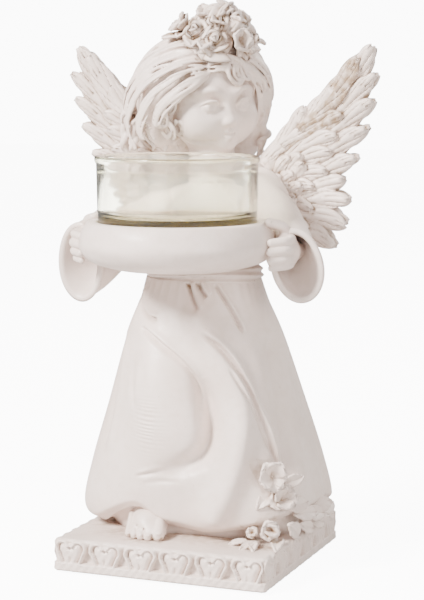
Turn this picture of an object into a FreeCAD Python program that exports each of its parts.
import FreeCAD, Part
import math
import os
from FreeCAD import Vector

# A cast-resin child angel that stands on a square carved plinth and holds out a shallow dish,
# with a loose glass tealight cup in the dish. Millimetres, +Z up. The angel faces -Y, so its
# own left side is +X. The origin is the centre of the felt under the plinth.

# ---- driving dimensions -------------------------------------------------------------------
PLINTH_SIDE = 70.0
PLINTH_TOP = 11.0
FELT_THICKNESS = 0.8
FELT_INSET = 2.5                # how far the felt stays inside the plinth's edge
CUP_DIAMETER = 51.0
CUP_HEIGHT = 22.0
DISH_TOP = 110.5
WAIST_HEIGHT = 92.0
SHOULDER_HEIGHT = 127.0
OVERALL_HEIGHT = 178.0

# ---- plinth -------------------------------------------------------------------------------
FOOT_BAND_HEIGHT = 2.6          # plain band round the bottom
CAP_HEIGHT = 1.6                # plain slab above the carved petals
CAP_INSET = 1.0
FRIEZE_INSET = 2.2              # how far the field behind the petals is set back
PETALS_PER_SIDE = 6
PETAL_GAP = 1.0
PETAL_ROOT = 0.6                # how deep a petal is rooted in the field
PLINTH_CORNER = 2.5

# ---- dish and cup -------------------------------------------------------------------------
DISH_CENTRE = Vector(0, -18, 0)
DISH_RADIUS = 30.5
DISH_HEIGHT = 14.5
DISH_RIM_ROUNDING = 3.5         # how far inside the widest radius the flat top starts
RECESS_DEPTH = 2.0
RECESS_CLEARANCE = 0.5          # radial, round the foot of the cup
CUP_WALL = 2.2
CUP_FLOOR = 3.6
CUP_TAPER = 0.9                 # how much smaller the foot's radius is than the rim's
CUP_DRAFT = 0.4                 # the bore is this much wider than the foot's wall would leave
CUP_FOOT_ROUNDING = 1.2
CUP_BORE_ROUNDING = 1.5
CUP_LIFT = 3.0                  # straight up out of the recess, before it is drawn forward
CUP_PATH_GAP = 0.6              # air round the cup over its whole lift

# ---- figure -------------------------------------------------------------------------------
HEAD_CENTRE = Vector(-6.3, 18, 149)
FACE_TURN = 52.0                # degrees the face is turned from -Y towards the angel's left
CROWN_CENTRE = Vector(1, 15, 167)
CROWN_RADIUS = 11.0
CROWN_TILT = 16.0               # degrees, down towards the way the face looks
CROWN_ROSES = 8
ROSE_RADIUS = 5.4
TOP_ROSE_RADIUS = 6.5
CROWN_LEAVES = 5
CROWN_LEAF_RADIUS = 4.6
CROWN_LEAF_THICKNESS = 2.0
WING_FRONT = 19.0               # y of the wings' front face
WING_THICKNESS = 4.0
PIN_RADIUS = 1.0
PIN_LENGTH = 14.0
PIN_HEIGHTS = (107.0, 120.0)
PIN_START = 6.5                 # x of a pin's inner end, inside the bodice

# ---- flower spray -------------------------------------------------------------------------
BLOSSOM_THICKNESS = 3.6
HEM_LEAF_THICKNESS = 2.6

X_AXIS, Y_AXIS, Z_AXIS = Vector(1, 0, 0), Vector(0, 1, 0), Vector(0, 0, 1)
SECTION_POINTS = 20


def spline(points, periodic=False):
    """One smooth edge through the points."""
    curve = Part.BSplineCurve()
    curve.interpolate(points, PeriodicFlag=periodic)
    return curve.toShape()


def oval(centre, across, up, half_across, half_up, power=2.0):
    """A closed smooth wire: an ellipse at power 2, and squarer as power grows."""
    points = []
    for i in range(SECTION_POINTS):
        turn = 2 * math.pi * i / SECTION_POINTS
        c, s = math.cos(turn), math.sin(turn)
        u = math.copysign(abs(c) ** (2 / power), c) * half_across
        v = math.copysign(abs(s) ** (2 / power), s) * half_up
        points.append(centre + across * u + up * v)
    return Part.Wire(spline(points, periodic=True))


def level(z, half_x, half_y, centre_y, power=2.0):
    """A horizontal section of the body at height z."""
    return oval(Vector(0, centre_y, z), X_AXIS, Y_AXIS, half_x, half_y, power)


def upright(x, y, z, half_x, half_z, power=2.0):
    """A section that stands in the XZ plane, for the sleeves."""
    return oval(Vector(x, y, z), X_AXIS, Z_AXIS, half_x, half_z, power)


def loft(sections):
    return Part.makeLoft(sections, True, False)


def rounded_slab(side, bottom, top, corner):
    """A square slab centred on Z with rounded upright corners."""
    slab = Part.makeBox(side, side, top - bottom, Vector(-side / 2, -side / 2, bottom))
    upright_edges = [e for e in slab.Edges if abs(e.tangentAt(e.FirstParameter).z) > 0.9]
    return slab.makeFillet(corner, upright_edges)


def turned(profile, centre):
    """A solid of revolution about a vertical axis, from (radius, z) points joined by a spline."""
    points = [Vector(r, 0, z) for r, z in profile]
    low, high = points[0], points[-1]
    edges = [spline(points)]
    if high.x > 0:
        edges.append(Part.makeLine(high, Vector(0, 0, high.z)))
    edges.append(Part.makeLine(Vector(0, 0, high.z), Vector(0, 0, low.z)))
    if low.x > 0:
        edges.append(Part.makeLine(Vector(0, 0, low.z), low))
    face = Part.Face(Part.Wire(Part.__sortEdges__(edges)))
    solid = face.revolve(Vector(0, 0, 0), Z_AXIS, 360)
    solid.translate(Vector(centre.x, centre.y, 0))
    return solid


def lens(radius, thickness):
    """A flat round button with a domed top and bottom, lying across Z, for petals and leaves."""
    sphere_radius = (radius ** 2 + (thickness / 2) ** 2) / thickness
    lift = sphere_radius - thickness / 2
    low = Part.makeSphere(sphere_radius, Vector(0, 0, lift))
    high = Part.makeSphere(sphere_radius, Vector(0, 0, -lift))
    return low.common(high)


def aimed(shape, place, direction):
    """Turns a shape's +Z to direction and moves its origin to place."""
    moved = shape.copy()
    moved.Placement = FreeCAD.Placement(place, FreeCAD.Rotation(Z_AXIS, direction))
    return moved


def mirrored(shape):
    return shape.mirror(Vector(0, 0, 0), X_AXIS)


def grouped(shapes):
    return shapes[0].multiFuse(shapes[1:])


# ---- plinth and felt ----------------------------------------------------------------------
def make_felt():
    return rounded_slab(PLINTH_SIDE - 2 * FELT_INSET, 0, FELT_THICKNESS, PLINTH_CORNER)


def make_petal(width, bottom, top, depth):
    """One raised petal of the frieze: straight sides and a round head, from y = 0 to -depth."""
    half = width / 2
    shoulder = top - half
    sides = [
        Part.makeLine(Vector(half, 0, shoulder), Vector(half, 0, bottom)),
        Part.makeLine(Vector(half, 0, bottom), Vector(-half, 0, bottom)),
        Part.makeLine(Vector(-half, 0, bottom), Vector(-half, 0, shoulder)),
    ]
    head = Part.Arc(Vector(-half, 0, shoulder), Vector(0, 0, top), Vector(half, 0, shoulder))
    outline = Part.Wire(sides + [head.toShape()])
    return Part.Face(outline).extrude(Vector(0, -depth, 0))


def make_plinth():
    field_side = PLINTH_SIDE - 2 * FRIEZE_INSET
    field_bottom = FELT_THICKNESS + FOOT_BAND_HEIGHT
    cap_bottom = PLINTH_TOP - CAP_HEIGHT
    band = rounded_slab(PLINTH_SIDE, FELT_THICKNESS, field_bottom, PLINTH_CORNER)
    field = rounded_slab(field_side, field_bottom, cap_bottom, PLINTH_CORNER)
    cap_side = PLINTH_SIDE - 2 * CAP_INSET
    cap = rounded_slab(cap_side, cap_bottom, PLINTH_TOP, PLINTH_CORNER)
    pitch = cap_side / PETALS_PER_SIDE
    petals = []
    for side in range(4):
        for i in range(PETALS_PER_SIDE):
            petal = make_petal(pitch - PETAL_GAP, field_bottom, cap_bottom, FRIEZE_INSET)
            along = (i - (PETALS_PER_SIDE - 1) / 2) * pitch
            petal.translate(Vector(along, PETAL_ROOT - field_side / 2, 0))
            petal.rotate(Vector(0, 0, 0), Z_AXIS, 90 * side)
            petals.append(petal)
    return band.multiFuse([field, cap] + petals).removeSplitter()


# ---- dish and cup -------------------------------------------------------------------------
def make_dish():
    """The dish, and the same dish before its recess is cut."""
    bottom = DISH_TOP - DISH_HEIGHT
    rim = DISH_RADIUS - DISH_RIM_ROUNDING
    profile = [(20.0, bottom), (26.5, bottom + 2), (DISH_RADIUS, bottom + 8)]
    profile += [(29.6, bottom + 12.5), (rim, DISH_TOP)]
    outside = turned(profile, DISH_CENTRE)
    recess_radius = CUP_DIAMETER / 2 - CUP_TAPER + RECESS_CLEARANCE
    recess_floor = DISH_CENTRE + Vector(0, 0, DISH_TOP - RECESS_DEPTH)
    recess = Part.makeCylinder(recess_radius, 2 * RECESS_DEPTH, recess_floor)
    return outside.cut(recess), outside


def make_cup():
    foot = DISH_CENTRE + Vector(0, 0, DISH_TOP - RECESS_DEPTH)
    rim_radius = CUP_DIAMETER / 2
    outside = Part.makeCone(rim_radius - CUP_TAPER, rim_radius, CUP_HEIGHT, foot)
    foot_edge = [e for e in outside.Edges if e.BoundBox.ZMax < foot.z + 0.1]
    outside = outside.makeFillet(CUP_FOOT_ROUNDING, foot_edge)
    bore_radius = rim_radius - CUP_TAPER - CUP_WALL + CUP_DRAFT
    inside = Part.makeCylinder(bore_radius, CUP_HEIGHT, foot + Vector(0, 0, CUP_FLOOR))
    floor_edge = [e for e in inside.Edges if e.BoundBox.ZMax < foot.z + CUP_FLOOR + 0.1]
    inside = inside.makeFillet(CUP_BORE_ROUNDING, floor_edge)
    return outside.cut(inside)


def make_cup_path():
    """The space that the cup sweeps as it is lifted, with air round it."""
    foot = DISH_CENTRE + Vector(0, 0, DISH_TOP - RECESS_DEPTH)
    height = CUP_HEIGHT + CUP_LIFT + CUP_PATH_GAP
    return Part.makeCylinder(CUP_DIAMETER / 2 + CUP_PATH_GAP, height, foot)


# ---- robe ---------------------------------------------------------------------------------
def make_skirt():
    top = WAIST_HEIGHT - 2.5
    return loft([
        level(PLINTH_TOP, 33.5, 24.5, 7.5, 3.4),
        level(PLINTH_TOP + 7, 37.0, 27.5, 6.0, 3.4),
        level(32, 35.5, 27.5, 5.5, 3.0),
        level(52, 30.5, 25.0, 5.5, 2.5),
        level(72, 25.0, 20.5, 5.0, 2.2),
        level(top, 18.6, 15.2, 4.0, 2.0),
    ])


def make_sash():
    return loft([
        level(WAIST_HEIGHT - 2.5, 18.9, 15.5, 4.0),
        level(WAIST_HEIGHT, 19.3, 15.9, 4.4),
        level(WAIST_HEIGHT + 2.5, 18.5, 15.2, 5.0),
    ])


def make_bodice():
    return loft([
        level(WAIST_HEIGHT + 2.5, 17.8, 14.4, 5.6),
        level(103, 16.0, 12.0, 11.5),
        level(114, 16.8, 10.6, 14.5),
        level(122, 16.8, 9.6, 15.5),
        level(SHOULDER_HEIGHT, 13.0, 8.0, 16.0),
        level(SHOULDER_HEIGHT + 3, 8.6, 7.2, 16.0),
    ])


def make_left_sleeve():
    """Upper arm and bell sleeve, with the cuff hanging open round the wrist."""
    arm = loft([
        upright(13.0, 19.0, 120.0, 5.0, 6.5),
        upright(18.5, 12.0, 117.0, 6.5, 8.0),
        upright(27.0, 2.0, 106.5, 7.5, 11.0),
        upright(34.5, -7.0, 97.0, 6.8, 12.5),
        upright(37.0, -12.0, 94.0, 5.6, 12.0),
    ])
    hollow = loft([
        upright(37.2, -13.0, 93.5, 4.0, 10.2),
        upright(34.8, -6.0, 97.0, 4.6, 9.6),
        upright(31.0, -1.5, 101.5, 3.4, 6.0),
    ])
    return arm.cut(hollow)


def make_left_hand():
    """A closed fist on the dish's edge, with the forearm reaching back into the sleeve."""
    return loft([
        upright(30.5, -20.0, 103.0, 3.0, 5.0, 2.6),
        upright(32.3, -17.0, 102.8, 4.4, 6.6, 2.6),
        upright(33.0, -12.0, 102.6, 4.2, 6.2, 2.4),
        upright(33.0, -7.5, 102.3, 3.0, 3.6),
        upright(32.0, -3.0, 102.0, 2.6, 3.2),
    ])


def make_foot():
    """The bare foot whose toes show under the hem."""
    return loft([
        upright(-11.5, -29.0, 12.8, 3.8, 1.7),
        upright(-11.3, -27.0, 13.6, 6.2, 2.6, 2.4),
        upright(-10.8, -22.0, 15.2, 6.4, 4.2, 2.2),
        upright(-10.2, -16.0, 16.6, 5.6, 5.6),
    ])


# ---- head, hair and crown -----------------------------------------------------------------
def face_direction():
    turn = math.radians(FACE_TURN)
    return Vector(math.sin(turn), -math.cos(turn), 0)


def make_head():
    profile = [(0.0, 131.5), (7.5, 133.5), (13.5, 139.0), (17.2, 148.0)]
    profile += [(16.8, 157.0), (11.0, 164.0), (0.0, 167.0)]
    skull = turned(profile, HEAD_CENTRE)
    neck = Part.makeCone(8.0, 6.5, 9.0, Vector(-3.0, 17.0, SHOULDER_HEIGHT + 2))
    return skull.fuse(neck)


def make_hair():
    """The hair as one cap over the skull, fuller at the back and over the right shoulder."""
    behind = HEAD_CENTRE - face_direction() * 2.5
    profile = [(0.0, 135.0), (14.0, 137.0), (20.3, 147.0), (19.6, 158.0), (12.5, 166.0), (0.0, 169.0)]
    cap = turned(profile, behind)
    right_curls = Part.makeSphere(11.0, Vector(-25.0, 15.0, 141.0))
    nape_curls = Part.makeSphere(9.0, Vector(-9.0, 27.0, 135.0))
    left_curls = Part.makeSphere(7.0, Vector(5.5, 27.5, 139.5))
    hair = grouped([cap, right_curls, nape_curls, left_curls])
    window_start = HEAD_CENTRE + face_direction() * 2.0 + Vector(0, 0, -4.0)
    window = Part.makeCone(16.5, 21.0, 30.0, window_start, face_direction())
    return hair.cut(window)


def crown_axis():
    tilt = math.radians(CROWN_TILT)
    return face_direction() * math.sin(tilt) + Z_AXIS * math.cos(tilt)


def crown_spots(radius, count, start=0.0):
    """Places spread round the crown's ring."""
    axis = crown_axis()
    across = axis.cross(Y_AXIS).normalize()
    along = axis.cross(across)
    for i in range(count):
        turn = start + 2 * math.pi * i / count
        yield CROWN_CENTRE + across * (radius * math.cos(turn)) + along * (radius * math.sin(turn))


def make_crown_roses():
    """A ring of roses round one that stands highest."""
    roses = [Part.makeSphere(ROSE_RADIUS, spot) for spot in crown_spots(CROWN_RADIUS, CROWN_ROSES)]
    top_spot = Vector(CROWN_CENTRE.x - 3, CROWN_CENTRE.y, OVERALL_HEIGHT - TOP_ROSE_RADIUS)
    return grouped([Part.makeSphere(TOP_ROSE_RADIUS, top_spot)] + roses)


def make_crown_leaves():
    """Leaves that lean out from between the roses."""
    leaf = lens(CROWN_LEAF_RADIUS, CROWN_LEAF_THICKNESS)
    leaves = []
    for spot in crown_spots(CROWN_RADIUS + 4.0, CROWN_LEAVES, 0.4):
        outward = (spot - CROWN_CENTRE).normalize() + crown_axis() * 0.8
        leaves.append(aimed(leaf, spot, outward))
    return grouped(leaves)


# ---- wings --------------------------------------------------------------------------------
def make_left_wing():
    """One raised wing: a smooth leading edge and a stepped trailing edge of feather tips."""
    leading = [(9, 127), (17, 134), (27, 144), (38, 152), (45, 160.5), (49.5, 165)]
    trailing = [
        (53.5, 160), (53, 147), (50.5, 134), (46.5, 125), (46.5, 116), (44.5, 107), (40.5, 98.5),
        (34, 93.5), (26, 96), (18, 100), (9, 101),
    ]
    upper = [Vector(x, WING_FRONT, z) for x, z in leading]
    lower = [Vector(x, WING_FRONT, z) for x, z in trailing]
    tip = Part.makeLine(upper[-1], lower[0])
    root = Part.makeLine(lower[-1], upper[0])
    outline = Part.Wire([spline(upper), tip, spline(lower), root])
    return Part.Face(outline).extrude(Vector(0, WING_THICKNESS, 0))


def make_wing_pins():
    """Two steel dowels a side, half in the back of the figure and half in the wing root."""
    middle = WING_FRONT + WING_THICKNESS / 2
    pins = []
    for side in (1, -1):
        for z in PIN_HEIGHTS:
            start = Vector(side * PIN_START, middle, z)
            pins.append(Part.makeCylinder(PIN_RADIUS, PIN_LENGTH, start, X_AXIS * side))
    return pins


# ---- flower spray on the hem --------------------------------------------------------------
def make_hem_blossoms():
    """Place, facing and radius of each flower of the spray."""
    spots = [
        (Vector(30.5, -17.5, 33.0), Vector(0.6, -0.8, 0.2), 5.6),
        (Vector(33.5, -15.5, 24.5), Vector(0.7, -0.7, 0.1), 5.0),
        (Vector(31.0, -23.0, 13.5), Vector(0.3, -0.7, 0.6), 4.2),
    ]
    return grouped([aimed(lens(size, BLOSSOM_THICKNESS), place, facing) for place, facing, size in spots])


def make_hem_leaves():
    """Place, facing and radius of each leaf of the spray."""
    spots = [
        (Vector(36.0, -9.0, 18.5), Vector(0.9, -0.4, 0.2), 5.0),
        (Vector(36.6, 2.0, 19.5), Vector(1.0, 0.0, 0.2), 5.4),
        (Vector(36.4, 14.0, 17.5), Vector(1.0, 0.0, 0.2), 5.0),
        (Vector(22.5, -24.5, 12.0), Vector(0.0, -0.2, 1.0), 4.0),
    ]
    return grouped([aimed(lens(size, HEM_LEAF_THICKNESS), place, facing) for place, facing, size in spots])


# ---- assembly -----------------------------------------------------------------------------
def without(shape, *others):
    """The shape less its neighbours, so that glued castings meet face to face."""
    return shape.cut(Part.makeCompound(list(others)))


def build():
    """Every sub-part in its place, by node name."""
    cup = make_cup()
    cup_path = make_cup_path()
    dish, dish_blank = make_dish()
    plinth = make_plinth()
    skirt, sash = make_skirt(), make_sash()
    pins = Part.makeCompound(make_wing_pins())
    bodice = without(make_bodice(), dish_blank, cup_path, pins)
    head = without(make_head(), bodice, cup_path)
    hair = without(make_hair(), head, bodice, cup_path)
    roses = without(make_crown_roses(), hair, head)
    crown_leaves = without(make_crown_leaves(), hair, head, roses)
    raw_sleeve, raw_hand = make_left_sleeve(), make_left_hand()
    foot = without(make_foot(), skirt, plinth)
    blossoms = without(make_hem_blossoms(), skirt, plinth)
    hem_leaves = without(make_hem_leaves(), skirt, plinth, blossoms)
    parts = {
        "felt_base": make_felt(),
        "plinth": plinth,
        "robe_skirt": skirt,
        "waist_sash": sash,
        "robe_bodice": bodice,
        "right_foot": foot,
        "head": head,
        "hair": hair,
        "crown_roses": roses,
        "crown_leaves": crown_leaves,
        "dish": dish,
        "glass_cup": cup,
        "wing_pins": pins,
        "hem_blossoms": blossoms,
        "hem_leaves": hem_leaves,
    }
    for side, place in (("left", lambda shape: shape), ("right", mirrored)):
        sleeve = without(place(raw_sleeve), bodice, dish_blank, skirt, sash)
        hand = without(place(raw_hand), dish_blank, sleeve, cup_path)
        wing = without(place(make_left_wing()), bodice, sleeve, pins, hair, head)
        parts[side + "_sleeve"] = sleeve
        parts[side + "_hand"] = hand
        parts[side + "_wing"] = wing
    return parts


def main():
    os.makedirs("parts", exist_ok=True)
    for name, shape in sorted(build().items()):
        solids = shape.Solids
        box = shape.BoundBox
        print(
            f"{name}: {len(solids)} solid(s), {shape.Volume / 1000:.2f} cm3, valid {shape.isValid()}, "
            f"x {box.XMin:.1f}..{box.XMax:.1f}, y {box.YMin:.1f}..{box.YMax:.1f}, "
            f"z {box.ZMin:.1f}..{box.ZMax:.1f}"
        )
        kept = solids[0] if len(solids) == 1 else Part.makeCompound(solids)
        kept.exportStep(f"parts/{name}.step")


main()
